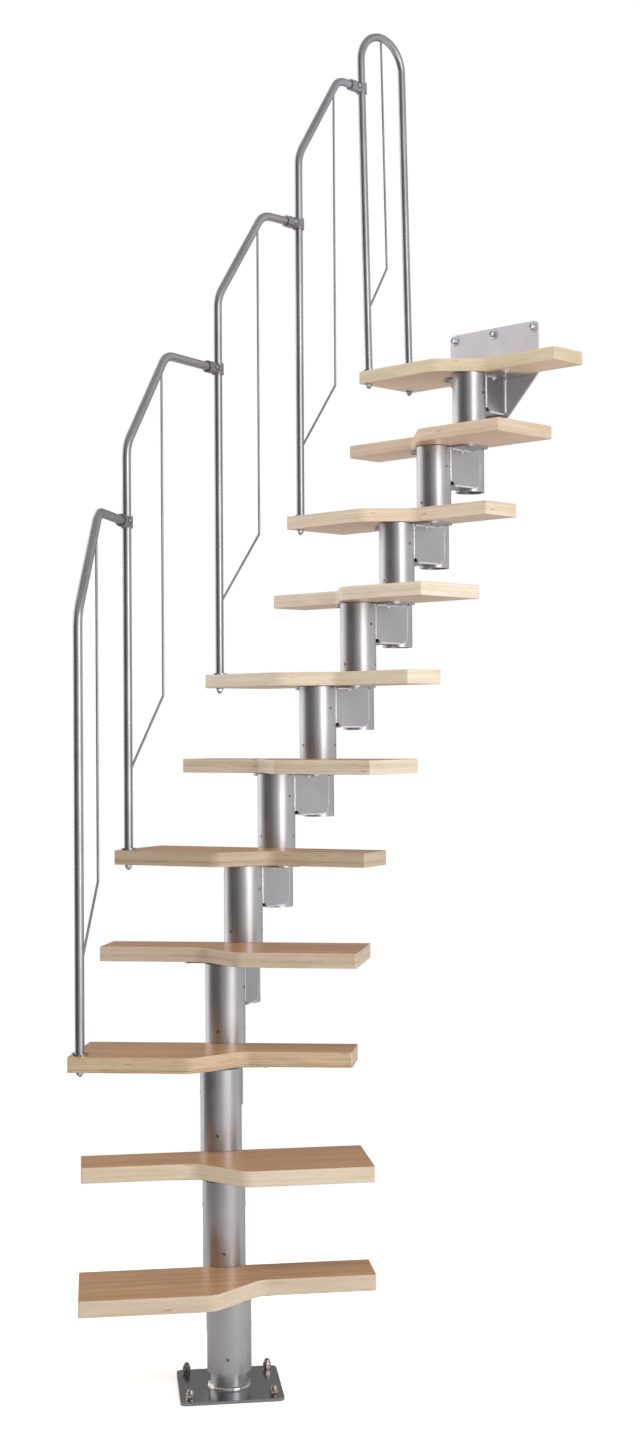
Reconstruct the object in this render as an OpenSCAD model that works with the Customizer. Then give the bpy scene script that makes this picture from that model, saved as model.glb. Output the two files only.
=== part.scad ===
// Modular space-saving staircase: eleven plywood treads on steel modules that
// plug into one another, a round handrail on the left and a plate on the wall.
// Origin: middle of the base plate's underside. Z is up and the straight upper
// modules run along +Y, square to the wall.

/* [Flight] */
// Height from one tread to the next
rise = 208; // [204:1:240]
// Height of the first tread above the floor
first_rise = 213; // [195:1:250]
// Distance from the axis of one sleeve to the next
going = 143; // [132:1:175]

/* [Treads] */
// Width of a tread across the flight
tread_w = 600; // [500:5:720]
// Thickness of the plywood
tread_t = 33; // [26:1:40]
// Depth of the wide half of a tread
deep_depth = 211; // [180:1:260]
// Depth of the narrow half of a tread
shallow_depth = 117; // [95:1:150]
// Distance from a tread's back edge to the axis of the next sleeve
back_gap = 30; // [22:1:40]
// Gap between the notch in the back edge and the sleeve that stands in it
notch_gap = 1.55; // [0.6:0.05:9]
// Slope of the step in the front edge, in degrees
step_angle = 44; // [38:1:70]
// Radius of the bends in the front edge
step_r = 40; // [15:1:55]
// How far the step lies towards the narrow half
step_shift = 16; // [0:1:40]
// Radius of the tread's corners
corner_r = 4; // [2:0.5:12]

/* [Steel modules] */
// Outer diameter of a sleeve
sleeve_d = 88.9; // [80:0.1:96]
// Wall of a sleeve
sleeve_wall = 6; // [3:0.1:8]
// Gap between a sleeve and the tube inside it, on the radius
slide_gap = 0.4; // [0.2:0.1:0.8]
// Wall of the inner tube
inner_wall = 4; // [2.5:0.1:6]
// How far a sleeve reaches down into the notch of the tread below it
sleeve_sink = 12; // [2:1:28]
// Space between the top of a sleeve and the tread on its module
sleeve_gap = 1.5; // [0.5:0.5:5]
// How far an inner tube reaches into the sleeve above it
inner_reach = 143; // [60:1:160]
// How far an inner tube hangs below its tread
inner_drop = 107; // [101:1:120]
// Height of the two side plates
side_h = 99; // [70:1:100]
// Thickness of the side plates
side_t = 3; // [2:0.5:6]
// Radius of the side plates' lower back corner
side_r = 23; // [4:1:30]
// Radius of the cut-out where the side plates' lower edge meets the sleeve
foot_cut = 10; // [4:1:12]
// Width of the plate under a tread
seat_w = 220; // [160:2:300]
// Thickness of the plate under a tread
seat_t = 5; // [3:0.5:8]
// Distance from the sleeve's axis to that plate's front edge
seat_front = 12; // [3:1:20]
// Distance from that plate's back edge to the tread's back edge
seat_inset = 5; // [0:1:15]
// Radius of that plate's corners
seat_r = 32; // [2:1:40]

/* [Base plate] */
// Side of the square base plate
base_w = 205; // [170:5:260]
// Thickness of the base plate
base_t = 6; // [5:0.5:12]
// Radius of the base plate's corners
base_r = 12; // [4:1:20]
// Distance from a bolt hole to the plate's edge
base_edge = 20; // [16:0.5:30]
// Diameter of the bolt holes in the base plate
base_hole_d = 11; // [7:0.5:14]
// Free length of the tube between the base plate and the first sleeve
base_show = 30; // [10:1:45]
// Height of the tube on the base plate
base_tube_h = 148; // [80:1:150]

/* [Wall plate] */
// Width of the wall plate
wall_w = 306; // [280:2:380]
// Thickness of the wall plate
wall_t = 5; // [4:0.5:10]
// How far the wall plate stands above the top tread
wall_up = 105; // [70:1:150]
// How far the wall plate hangs below the top tread's underside
wall_down = 108; // [101:1:125]
// Width of the wall plate's lower edge
wall_foot_w = 92; // [60:2:120]
// Radius of the wall plate's upper corners
wall_r = 15; // [5:1:25]
// Distance between its bolt holes
wall_pitch = 137.5; // [110:0.5:137.5]
// Distance from its bolt holes to the top edge
wall_edge = 15.5; // [14:0.5:30]
// Diameter of its bolt holes
wall_hole_d = 11; // [7:0.5:14]

/* [Handrail] */
// Diameter of the handrail tube
rail_d = 21; // [20:0.5:28]
// Wall of the handrail tube
rail_wall = 2; // [1.5:0.1:3]
// Distance from a post to the tread's left end
post_side = 20; // [20:1:40]
// Distance from a post to the tread's front edge
post_front = 32; // [20:1:60]
// Height above its tread at which a post bends over
post_h = 945; // [800:5:1050]
// Height above its tread of the rail's level end
rail_top = 1181; // [1060:1:1240]
// Pitch of the sloping length, in degrees
rail_pitch = 56.5; // [50:0.5:62]
// Radius of the lower bend
low_bend_r = 90; // [50:5:120]
// Radius of the upper bend
high_bend_r = 48; // [35:1:55]
// Distance from the top hoop's front leg to its tread's front edge
hoop_front = 19; // [19:1:40]
// Distance between the two legs of the hoop
hoop_w = 162; // [120:1:170]
// Height of the hoop above the top tread, to the middle of its tube
hoop_h = 920; // [800:5:1000]
// How far the hoop leans towards the flight, in degrees
hoop_lean = 1.6; // [0:0.1:2.5]
// Diameter of the filler rods
rod_d = 6; // [5:0.5:8]
// Distance from a post to its filler rod
rod_out = 138; // [110:1:142]
// Height above the tread at which a filler rod bends
rod_low = 362; // [300:2:420]
// Distance from the hoop's front leg to its filler rod
hoop_rod_out = 82; // [50:1:90]
// Height above the tread at which the hoop's filler rod bends
hoop_rod_low = 290; // [240:2:360]
// Height above the tread at which the hoop's filler rod meets its leg
hoop_rod_foot = 160; // [120:2:220]
// Height above the tread at which a filler rod meets its post
rod_foot = 174; // [120:2:240]
// Diameter of the flange under a post
flange_d = 36; // [32:1:40]
// Thickness of the flange under a post
flange_t = 4; // [3:0.5:6]
// Diameter of the stud that holds a post
stud_d = 10; // [8:0.5:12]
// Size across the flats of a cap nut
nut_flats = 14; // [13:1:19]
// Height of a rail clamp
clamp_h = 28; // [24:1:50]
// Wall of a rail clamp, above and below the rail
clamp_wall = 4.5; // [3.5:0.5:6]
// Wall of a rail clamp behind its two flat faces
clamp_side = 3; // [2:0.5:3]
// How far a rail clamp reaches from the post's axis
clamp_reach = 47; // [30:1:60]

/* [Hidden] */
$fn = 64;

// Headings in plan, in degrees from +Y towards +X: the flight turns right.
module_turn = [-51.5, -50, -43.5, -30.5, -13.5, -1, 0, 0, 0, 0, -4];
tread_turn = [-51.5, -52, -38, -35.5, -18.5, -11.5, 0, 0, 0, 0, 0];
tread_count = len(tread_turn);
// The treads that carry the posts of handrails 1 to 4 and of the hoop.
post_treads = [3, 5, 7, 9, 11];

steel = [0.70, 0.70, 0.72];
dark_steel = [0.48, 0.48, 0.50];
plywood = [0.85, 0.74, 0.56];
chrome = [0.82, 0.82, 0.84];

eps = 0.01;
fit_gap = 0.3;
bend_thin = 0.1;
bend_lap = 1;
knuckle = 0.4;
inner_d = sleeve_d - 2 * sleeve_wall - 2 * slide_gap;
notch_r = sleeve_d / 2 + notch_gap;
front_deep = -(back_gap + deep_depth);
front_shallow = -(back_gap + shallow_depth);
back_edge = -back_gap;
side_x = inner_d / 2;
plate_start = sleeve_d / 4;
plate_meet = sqrt(sleeve_d * sleeve_d / 4 - side_x * side_x);
seat_back = going + back_edge - seat_inset;

// Plan places: the sleeve axes, then points given in a tread's own frame.
function heading(turn) = [sin(turn), cos(turn)];
function across(turn) = [cos(turn), -sin(turn)];
function axis_at(n) = n <= 1 ? [0, 0] : axis_at(n - 1) + going * heading(module_turn[n - 2]);
function tread_point(n, x, y) =
    axis_at(n + 1) + x * across(tread_turn[n - 1]) + y * heading(tread_turn[n - 1]);
function tread_top(n) = first_rise + rise * (n - 1);
function tread_under(n) = tread_top(n) - tread_t;
function is_odd(n) = n % 2 == 1;

// Posts stand on the wide left half of the odd treads.
post_x = -(tread_w / 2 - post_side);
post_y = front_deep + post_front;
function post_at(i) =
    tread_point(post_treads[i - 1], post_x, i == 5 ? front_deep + hoop_front : post_y);
function post_base(i) = tread_top(post_treads[i - 1]);
top_turn = tread_turn[tread_count - 1];
back_leg = post_at(5) + hoop_w * heading(top_turn);
clamp_z = rail_top - (post_treads[1] - post_treads[0]) * rise;
function clamp_at(i) = post_at(i) - (i == 5 ? tan(hoop_lean) * clamp_z : 0) * heading(top_turn);
function rail_span(i) = norm(clamp_at(i + 1) - post_at(i));
function rail_heading(i) =
    let (d = clamp_at(i + 1) - post_at(i)) atan2(d[0], d[1]);

// The points of an outline whose corners are rounded: each point is [x, y, r].
function unit(v) = v / norm(v);
function corner_points(a, b, c, r) =
    let (u = unit([a[0], a[1]] - [b[0], b[1]]), v = unit([c[0], c[1]] - [b[0], b[1]]),
         half = acos(u * v) / 2, centre = [b[0], b[1]] + unit(u + v) * r / sin(half),
         from = [b[0], b[1]] + u * r / tan(half) - centre,
         side = sign(u[0] * v[1] - u[1] * v[0]),
         swing = 180 - 2 * half, steps = ceil(swing / 6))
    [for (k = [0 : steps]) let (t = -side * swing * k / steps)
        centre + [from[0] * cos(t) - from[1] * sin(t), from[0] * sin(t) + from[1] * cos(t)]];
function rounded(points) =
    [for (i = [0 : len(points) - 1])
        let (n = len(points), p = points[i])
        each p[2] == 0 ? [[p[0], p[1]]]
            : corner_points(points[(i + n - 1) % n], p, points[(i + 1) % n], p[2])];

module place(point, z, turn) {
    translate([point[0], point[1], z]) rotate([0, 0, -turn]) children();
}

module tube(outside, bore, z0, z1) {
    translate([0, 0, z0]) difference() {
        cylinder(d = outside, h = z1 - z0);
        translate([0, 0, -1]) cylinder(d = bore, h = z1 - z0 + 2);
    }
}

module base_plate() {
    hole = base_w / 2 - base_edge;
    half = base_w / 2;
    color(dark_steel) rotate([0, 0, -module_turn[0]]) {
        difference() {
            linear_extrude(base_t) polygon(rounded([[-half, -half, base_r],
                [half, -half, base_r], [half, half, base_r], [-half, half, base_r]]));
            for (x = [-hole, hole], y = [-hole, hole])
                translate([x, y, -1]) cylinder(d = base_hole_d, h = base_t + 2);
        }
        tube(inner_d, inner_d - 2 * inner_wall, base_t - eps, base_t + base_tube_h);
    }
}

// One steel module; its origin is on the sleeve's axis at the tread's underside.
module sleeve(n) {
    bottom = n == 1 ? base_t + base_show - tread_under(1)
                    : tread_top(n - 1) - sleeve_sink - tread_under(n);
    tube(sleeve_d, inner_d + 2 * slide_gap, bottom, -sleeve_gap);
}

module seat(reach) {
    half = seat_w / 2;
    translate([0, 0, -seat_t]) linear_extrude(seat_t)
        polygon(rounded([[-half, seat_front, seat_r], [half, seat_front, seat_r],
                         [half, reach, seat_r], [-half, reach, seat_r]]));
}

module side_plate(reach, foot_r) {
    rotate([90, 0, 90]) linear_extrude(side_t)
        polygon(rounded([[plate_start, -side_h, 0], [reach, -side_h, foot_r],
                         [reach, -seat_t + eps, 0], [plate_start, -seat_t + eps, 0]]));
}

// The box of a module: seat on top, a plate on either side and a web below.
module module_box(reach, seat_reach, web_reach, foot_r) {
    difference() {
        union() {
            seat(seat_reach);
            translate([side_x - side_t, 0, 0]) side_plate(reach, foot_r);
            translate([-side_x, 0, 0]) side_plate(reach, foot_r);
            translate([-side_x + side_t / 2, plate_start, -side_h])
                cube([2 * side_x - side_t, web_reach - plate_start, side_t]);
        }
        translate([0, 0, -side_h - 1]) cylinder(d = sleeve_d - sleeve_wall, h = side_h + 2);
        translate([-side_x - 1, plate_meet + 0.6 * foot_cut, -side_h])
            rotate([0, 90, 0]) cylinder(r = foot_cut, h = 2 * side_x + 2);
        children();
    }
}

module stair_module(n) {
    reach = going - side_t;
    color(steel) place(axis_at(n), tread_under(n), module_turn[n - 1]) {
        sleeve(n);
        module_box(reach, seat_back, reach - side_r, side_r)
            translate([0, going, -inner_drop]) cylinder(d = inner_d - inner_wall, h = inner_drop + 1);
        translate([0, going, 0])
            tube(inner_d, inner_d - 2 * inner_wall, -inner_drop, tread_t - sleeve_sink + inner_reach);
    }
}

// The last module has no inner tube: its side plates end on the wall plate.
wall_front = axis_at(tread_count + 1)[1] - back_gap;
module top_module() {
    n = tread_count;
    color(steel) difference() {
        place(axis_at(n), tread_under(n), module_turn[n - 1]) {
            sleeve(n);
            module_box(going, going + seat_r, seat_back - 2 * side_t, 0);
        }
        translate([axis_at(n)[0] - tread_w, wall_front, tread_under(n) - side_h - 1])
            cube([2 * tread_w, going, side_h + 2]);
    }
}

module wall_plate() {
    half = wall_w / 2;
    foot = wall_foot_w / 2;
    top = tread_t + wall_up;
    color(steel)
        translate([axis_at(tread_count + 1)[0], wall_front + wall_t, tread_under(tread_count)])
        rotate([90, 0, 0]) linear_extrude(wall_t) difference() {
            polygon(rounded([[-half, 0, 0], [-foot, -wall_down, 6], [foot, -wall_down, 6],
                             [half, 0, 0], [half, top, wall_r], [-half, top, wall_r]]));
            for (x = [-wall_pitch, 0, wall_pitch])
                translate([x, top - wall_edge]) circle(d = wall_hole_d);
        }
}

// A tread in its own frame: the next sleeve's axis is the origin, travel is +Y.
module tread(n) {
    half = tread_w / 2;
    run = (deep_depth - shallow_depth) / tan(step_angle) / 2;
    color(plywood) difference() {
        place(axis_at(n + 1), tread_under(n), tread_turn[n - 1])
            mirror([is_odd(n) ? 0 : 1, 0, 0]) difference() {
                linear_extrude(tread_t) polygon(rounded([[-half, front_deep, corner_r],
                    [step_shift - run, front_deep, step_r],
                    [step_shift + run, front_shallow, step_r],
                    [half, front_shallow, corner_r], [half, back_edge, corner_r],
                    [-half, back_edge, corner_r]]));
                translate([0, 0, -1]) cylinder(r = notch_r, h = tread_t + 2);
            }
        for (i = [1 : 5]) if (post_treads[i - 1] == n)
            stud_hole(post_at(i), n);
        if (n == tread_count) stud_hole(back_leg, n);
    }
}

module stud_hole(point, n) {
    translate([point[0], point[1], tread_under(n) - 1])
        cylinder(d = stud_d + 2 * fit_gap, h = tread_t + 2);
}

// Leans what stands on the top tread as far as the hoop leans.
module with_lean() {
    rotate([0, 0, -top_turn]) rotate([hoop_lean, 0, 0]) rotate([0, 0, top_turn]) children();
}

// An arc of round bar in the X-Z plane, from angle a to angle a + swing.
module arc_bar(d, r, a, swing) {
    rotate([90, 0, 0]) rotate([0, 0, a])
        rotate_extrude(angle = swing) translate([r, 0]) circle(d = d);
}

// A bent bar in the X-Z plane: up, over at the pitch, then level to the end.
// A bend is drawn a hair thinner than the straight lengths that lap over its ends.
module bent_bar(d, start, end) {
    lean_over = 90 - rail_pitch;
    low = low_bend_r * tan(lean_over / 2) - bend_lap;
    high = high_bend_r * tan(rail_pitch / 2) - bend_lap;
    run = (rail_top - post_h) / tan(rail_pitch);
    slope = (rail_top - post_h) / sin(rail_pitch);
    translate([0, 0, start]) cylinder(d = d, h = post_h - low - start);
    translate([low_bend_r, 0, post_h - low - bend_lap])
        arc_bar(d - bend_thin, low_bend_r, 180 - lean_over, lean_over);
    translate([0, 0, post_h]) rotate([0, lean_over, 0])
        translate([0, 0, low]) cylinder(d = d, h = slope - low - high);
    translate([run + high + bend_lap, 0, rail_top - high_bend_r])
        arc_bar(d - bend_thin, high_bend_r, 90, rail_pitch);
    translate([run + high, 0, rail_top]) rotate([0, 90, 0]) cylinder(d = d, h = end - run - high);
}

module handrail(i) {
    end = rail_span(i) - rail_d / 2 - 2;
    bore = rail_d - 2 * rail_wall;
    color(steel) place(post_at(i), post_base(i), rail_heading(i)) rotate([0, 0, 90])
        difference() {
            bent_bar(rail_d, flange_t, end);
            bent_bar(bore, flange_t - 1, end + 1);
        }
}

// The hoop in its own plane: the front leg at x = 0, the back leg at x = hoop_w.
// The legs' feet follow the tread, which leans the other way in this plane.
hoop_middle = hoop_h - hoop_w / 2;
hoop_foot = flange_t + rail_d / 2 * sin(hoop_lean) + eps;
module hoop_bar(d, extra) {
    for (x = [0, hoop_w]) {
        start = hoop_foot - x * tan(hoop_lean) - extra;
        translate([x, 0, start]) cylinder(d = d, h = hoop_middle + bend_lap - start);
    }
    translate([hoop_w / 2, 0, hoop_middle]) arc_bar(d - bend_thin, hoop_w / 2, 0, 180);
}

module place_hoop() {
    place(post_at(5), post_base(5), 0) with_lean() rotate([0, 0, 90 - top_turn]) children();
}

module handrail_hoop() {
    color(steel) place_hoop() difference() {
        hoop_bar(rail_d, 0);
        hoop_bar(rail_d - 2 * rail_wall, 1);
    }
}

// A filler rod hangs from the rail, then turns in to the post.
module rod_bar(out, low, foot, top) {
    translate([out, 0, low]) {
        cylinder(d = rod_d, h = top - low);
        sphere(d = rod_d + knuckle);
        rotate([0, atan2(-out, foot - low), 0]) cylinder(d = rod_d, h = norm([out, foot - low]));
    }
}

module filler_rod(i) {
    top = min(rail_top, post_h + rod_out * tan(rail_pitch));
    color(steel) place(post_at(i), post_base(i), rail_heading(i)) rotate([0, 0, 90])
        difference() {
            rod_bar(rod_out, rod_low, rod_foot, top);
            bent_bar(rail_d, 0, rail_span(i));
        }
}

module hoop_rod() {
    half = hoop_w / 2;
    top = hoop_middle + sqrt(half * half - pow(half - hoop_rod_out, 2));
    color(steel) place_hoop() difference() {
        rod_bar(hoop_rod_out, hoop_rod_low, hoop_rod_foot, top);
        hoop_bar(rail_d, 0);
    }
}

// A clamp grips the next post and takes the level end of handrail i: a collar
// and a barrel along the rail, both cut flat on either side.
module rail_clamp(i) {
    barrel = rail_d + 2 * clamp_wall;
    bore = rail_d + 2 * fit_gap;
    flat = rail_d + 2 * clamp_side;
    tall = clamp_h + barrel;
    color(dark_steel) place(clamp_at(i + 1), post_base(i) + rail_top, rail_heading(i))
        difference() {
            intersection() {
                union() {
                    on_post(i) cylinder(d = barrel - 1, h = clamp_h, center = true);
                    rotate([90, 0, 0]) cylinder(d = barrel, h = clamp_reach);
                }
                translate([-flat / 2, -clamp_reach - 1, -tall / 2])
                    cube([flat, clamp_reach + barrel, tall]);
            }
            on_post(i) cylinder(d = bore, h = 2 * tall, center = true);
            rotate([90, 0, 0]) translate([0, 0, rail_d / 2 + 1])
                cylinder(d = bore, h = clamp_reach);
        }
}

// Upright, or leaning with the hoop for the clamp that sits on it.
module on_post(i) {
    if (i == 4) rotate([0, 0, rail_heading(i)]) with_lean() children();
    else children();
}

// Flange, stud, washer and cap nut that hold a post on its tread.
module post_fixing(point, z) {
    washer_d = nut_flats * 1.4;
    washer_t = 2;
    nut_h = nut_flats * 0.45;
    dome_r = nut_flats * 0.42;
    color(chrome) translate([point[0], point[1], z]) {
        cylinder(d = flange_d, h = flange_t);
        translate([0, 0, -tread_t - washer_t]) {
            cylinder(d = stud_d, h = tread_t + washer_t + eps);
            cylinder(d = washer_d, h = washer_t);
            translate([0, 0, -nut_h]) {
                cylinder(d = nut_flats / cos(30), h = nut_h, $fn = 6);
                sphere(r = dome_r);
            }
        }
    }
}

base_plate();
stair_module(1);  // module_01
stair_module(2);  // module_02
stair_module(3);  // module_03
stair_module(4);  // module_04
stair_module(5);  // module_05
stair_module(6);  // module_06
stair_module(7);  // module_07
stair_module(8);  // module_08
stair_module(9);  // module_09
stair_module(10);  // module_10
top_module();  // module_11
wall_plate();
tread(1);  // tread_01
tread(2);  // tread_02
tread(3);  // tread_03
tread(4);  // tread_04
tread(5);  // tread_05
tread(6);  // tread_06
tread(7);  // tread_07
tread(8);  // tread_08
tread(9);  // tread_09
tread(10);  // tread_10
tread(11);  // tread_11
handrail(1);  // handrail_1
handrail(2);  // handrail_2
handrail(3);  // handrail_3
handrail(4);  // handrail_4
handrail_hoop();
filler_rod(1);  // filler_rod_1
filler_rod(2);  // filler_rod_2
filler_rod(3);  // filler_rod_3
filler_rod(4);  // filler_rod_4
hoop_rod();  // filler_rod_5
rail_clamp(1);  // rail_clamp_1
rail_clamp(2);  // rail_clamp_2
rail_clamp(3);  // rail_clamp_3
rail_clamp(4);  // rail_clamp_4
post_fixing(post_at(1), post_base(1));  // post_fixing_1
post_fixing(post_at(2), post_base(2));  // post_fixing_2
post_fixing(post_at(3), post_base(3));  // post_fixing_3
post_fixing(post_at(4), post_base(4));  // post_fixing_4
post_fixing(post_at(5), post_base(5));  // post_fixing_5
post_fixing(back_leg, post_base(5));  // post_fixing_6
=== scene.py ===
# The modular staircase's looks: finishes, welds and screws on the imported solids, and a plain studio.
import math

import bpy
from mathutils import Matrix, Vector, noise


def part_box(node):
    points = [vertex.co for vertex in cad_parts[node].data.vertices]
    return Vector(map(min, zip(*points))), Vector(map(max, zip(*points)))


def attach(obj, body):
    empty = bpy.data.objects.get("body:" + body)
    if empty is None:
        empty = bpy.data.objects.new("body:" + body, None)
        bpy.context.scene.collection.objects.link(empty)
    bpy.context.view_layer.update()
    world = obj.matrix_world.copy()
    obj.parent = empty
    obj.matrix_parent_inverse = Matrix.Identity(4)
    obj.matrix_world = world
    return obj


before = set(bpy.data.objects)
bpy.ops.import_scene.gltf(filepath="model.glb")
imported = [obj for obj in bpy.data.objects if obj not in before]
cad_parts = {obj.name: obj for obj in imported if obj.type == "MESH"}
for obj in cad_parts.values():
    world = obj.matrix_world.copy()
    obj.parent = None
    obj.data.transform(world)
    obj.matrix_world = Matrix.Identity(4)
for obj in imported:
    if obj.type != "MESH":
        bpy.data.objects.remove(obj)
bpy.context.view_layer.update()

# The camera: where it stands, where it looks, its lens and how far its picture is shifted.
CAMERA_AT = Vector((2.9427, -2.6706, 1.3192))
CAMERA_HEADING = (-0.6855, 0.7281, 0.0)
CAMERA_PITCH = 0.0082
CAMERA_ROLL = -0.0066
LENS = 49.42
LENS_SHIFT = -0.042

# How many of each piece the part has.
MODULES = 11
POST_FIXINGS = 6
RAILS = 4
RODS = 5

# Sizes of the part, in metres. The inner tubes' radius is also half the width over the side plates.
SLEEVE_R = 0.04445
SLEEVE_GAP = 0.0015
INNER_R = 0.03805
SIDE_H = 0.099
SIDE_T = 0.003
SIDE_R = 0.023
FOOT_CUT = 0.010
SEAT_T = 0.005
GOING = 0.143
BACK_GAP = 0.030
BASE_T = 0.006
BASE_EDGE = 0.020
WALL_EDGE = 0.0155
WALL_PITCH = 0.1375

# Ahead of a sleeve's axis: where its side plates meet it, and where the web between them ends.
MEET = math.sqrt(SLEEVE_R**2 - INNER_R**2)
WEB_Y = GOING - SIDE_T - SIDE_R


# ---------------------------------------------------------------- places
def module_node(n):
    return f"module_{n:02d}"


def tread_node(n):
    return f"tread_{n:02d}"


def points(node):
    return [v.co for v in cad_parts[node].data.vertices]


def corners(node):
    return tuple(Vector(corner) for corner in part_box(node))


def middle(values):
    values = list(values)
    return (min(values) + max(values)) / 2


def box_middle(node):
    low, high = corners(node)
    return (low + high) / 2


def lowest_ring(node):
    """Centre of a sleeve's lower end."""
    low = min(p.z for p in points(node))
    ring = [p for p in points(node) if p.z < low + 0.0005]
    return Vector((middle(p.x for p in ring), middle(p.y for p in ring), low))


def broad_heading(node, per_degree):
    """Level direction that the largest area of a node's faces looks along, to a part of a degree."""
    areas = {}
    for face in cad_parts[node].data.polygons:
        if abs(face.normal.z) < 0.05:
            angle = math.degrees(math.atan2(face.normal.y, face.normal.x))
            angle = round(angle * per_degree) / per_degree % 180
            areas[angle] = areas.get(angle, 0) + face.area
    angle = math.radians(max(areas, key=areas.get))
    return Vector((math.cos(angle), math.sin(angle), 0))


def towards(way, aim):
    """The direction, or its opposite, that points to the same side as the aim."""
    return -way if way.dot(aim) < 0 else way


def upright(origin, forward, z):
    """A place at a height, with its +Y along a level direction."""
    forward = Vector((forward.x, forward.y, 0)).normalized()
    across = Vector((forward.y, -forward.x, 0))
    turn = Matrix((across, forward, Vector((0, 0, 1)))).transposed().to_4x4()
    return Matrix.Translation((origin.x, origin.y, z)) @ turn


def facing(at, way, place=None):
    """A place at a point with its +Z along a direction."""
    turn = Vector(way).normalized().to_track_quat("Z", "Y").to_matrix().to_4x4()
    return (place or Matrix.Identity(4)) @ Matrix.Translation(at) @ turn


# The sleeves' axes from the lowest module up, then the place of the next one, had the stair one more.
WALL_LOW, WALL_HIGH = corners("wall_plate")
WALL_X = (WALL_LOW.x + WALL_HIGH.x) / 2
AXES = [lowest_ring(module_node(n)) for n in range(1, MODULES + 1)]
AXES.append(Vector((WALL_X, WALL_LOW.y + BACK_GAP, 0)))


def tread_under(n):
    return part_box(tread_node(n))[0][2]


def base_place():
    """Origin on the lowest sleeve's axis at the top of the base plate, +Y towards the second module."""
    return upright(Vector((0, 0, 0)), AXES[1] - AXES[0], BASE_T)


def module_place(n):
    """Origin on the sleeve's axis at the tread's underside, +Y along the module."""
    return upright(AXES[n - 1], AXES[n] - AXES[n - 1], tread_under(n))


def tread_place(n):
    """Origin on the next sleeve's axis at the tread's underside, +Y across the tread's depth."""
    forward = towards(broad_heading(tread_node(n), 4), AXES[n] - box_middle(tread_node(n)))
    return upright(AXES[n], forward, tread_under(n))


# ---------------------------------------------------------------- node materials
def rgb(red, green, blue):
    """A colour from its display values, 0 to 255."""
    def linear(value):
        return value / 12.92 if value <= 0.04045 else ((value + 0.055) / 1.055) ** 2.4

    return (linear(red / 255), linear(green / 255), linear(blue / 255), 1)


def tint(colour, red, green, blue):
    return (colour[0] * red, colour[1] * green, colour[2] * blue, 1)


def dim(colour, factor):
    return tint(colour, factor, factor, factor)


class Graph:
    """The node tree of a material or a world."""

    def __init__(self, owner):
        owner.use_nodes = True
        self.tree = owner.node_tree
        self.tree.nodes.clear()

    def add(self, kind, **settings):
        node = self.tree.nodes.new(kind)
        for key, value in settings.items():
            setattr(node, key, value)
        return node

    def put(self, socket, value):
        if isinstance(value, bpy.types.NodeSocket):
            self.tree.links.new(value, socket)
        else:
            socket.default_value = value

    def math(self, operation, a, b=0.0, c=0.0, clamp=False):
        node = self.add("ShaderNodeMath", operation=operation, use_clamp=clamp)
        for socket, value in zip(node.inputs, (a, b, c)):
            self.put(socket, value)
        return node.outputs[0]

    def vector(self, operation, a, b=(0, 0, 0)):
        node = self.add("ShaderNodeVectorMath", operation=operation)
        self.put(node.inputs[0], a)
        self.put(node.inputs[1], b)
        return node.outputs["Value" if operation == "DOT_PRODUCT" else "Vector"]

    def split(self, vector):
        node = self.add("ShaderNodeSeparateXYZ")
        self.put(node.inputs[0], vector)
        return node.outputs

    def scaled(self, u, u_scale, v, v_scale, seed):
        """A vector of two stretched coordinates, with a seed as its third."""
        node = self.add("ShaderNodeCombineXYZ")
        self.put(node.inputs[0], self.math("MULTIPLY", u, u_scale))
        self.put(node.inputs[1], self.math("MULTIPLY", v, v_scale))
        self.put(node.inputs[2], seed)
        return node.outputs[0]

    def ramp(self, value, low, high, out_low=0.0, out_high=1.0):
        node = self.add("ShaderNodeMapRange", interpolation_type="SMOOTHSTEP")
        for socket, given in zip(node.inputs, (value, low, high, out_low, out_high)):
            self.put(socket, given)
        return node.outputs[0]

    def noise(self, vector, scale, detail=2.0, rough=0.5):
        node = self.add("ShaderNodeTexNoise")
        self.put(node.inputs["Vector"], vector)
        node.inputs["Scale"].default_value = scale
        node.inputs["Detail"].default_value = detail
        node.inputs["Roughness"].default_value = rough
        return node.outputs["Fac"]

    def grain(self, u, u_scale, v, v_scale, seed, detail=2.0, rough=0.5):
        """Noise over two stretched coordinates; each seed gives another pattern."""
        return self.noise(self.scaled(u, u_scale, v, v_scale, seed), 1, detail, rough)

    def mix(self, factor, a, b):
        node = self.add("ShaderNodeMix", data_type="RGBA")
        self.put(node.inputs[0], factor)
        self.put(node.inputs[6], a)
        self.put(node.inputs[7], b)
        return node.outputs[2]

    def bump(self, height, strength, distance):
        node = self.add("ShaderNodeBump")
        node.inputs["Strength"].default_value = strength
        node.inputs["Distance"].default_value = distance
        self.put(node.inputs["Height"], height)
        return node.outputs[0]

    def shader(self, **inputs):
        shader = self.add("ShaderNodeBsdfPrincipled")
        for key, value in inputs.items():
            self.put(shader.inputs[key.replace("_", " ")], value)
        out = self.add("ShaderNodeOutputMaterial")
        self.tree.links.new(shader.outputs[0], out.inputs["Surface"])


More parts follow.
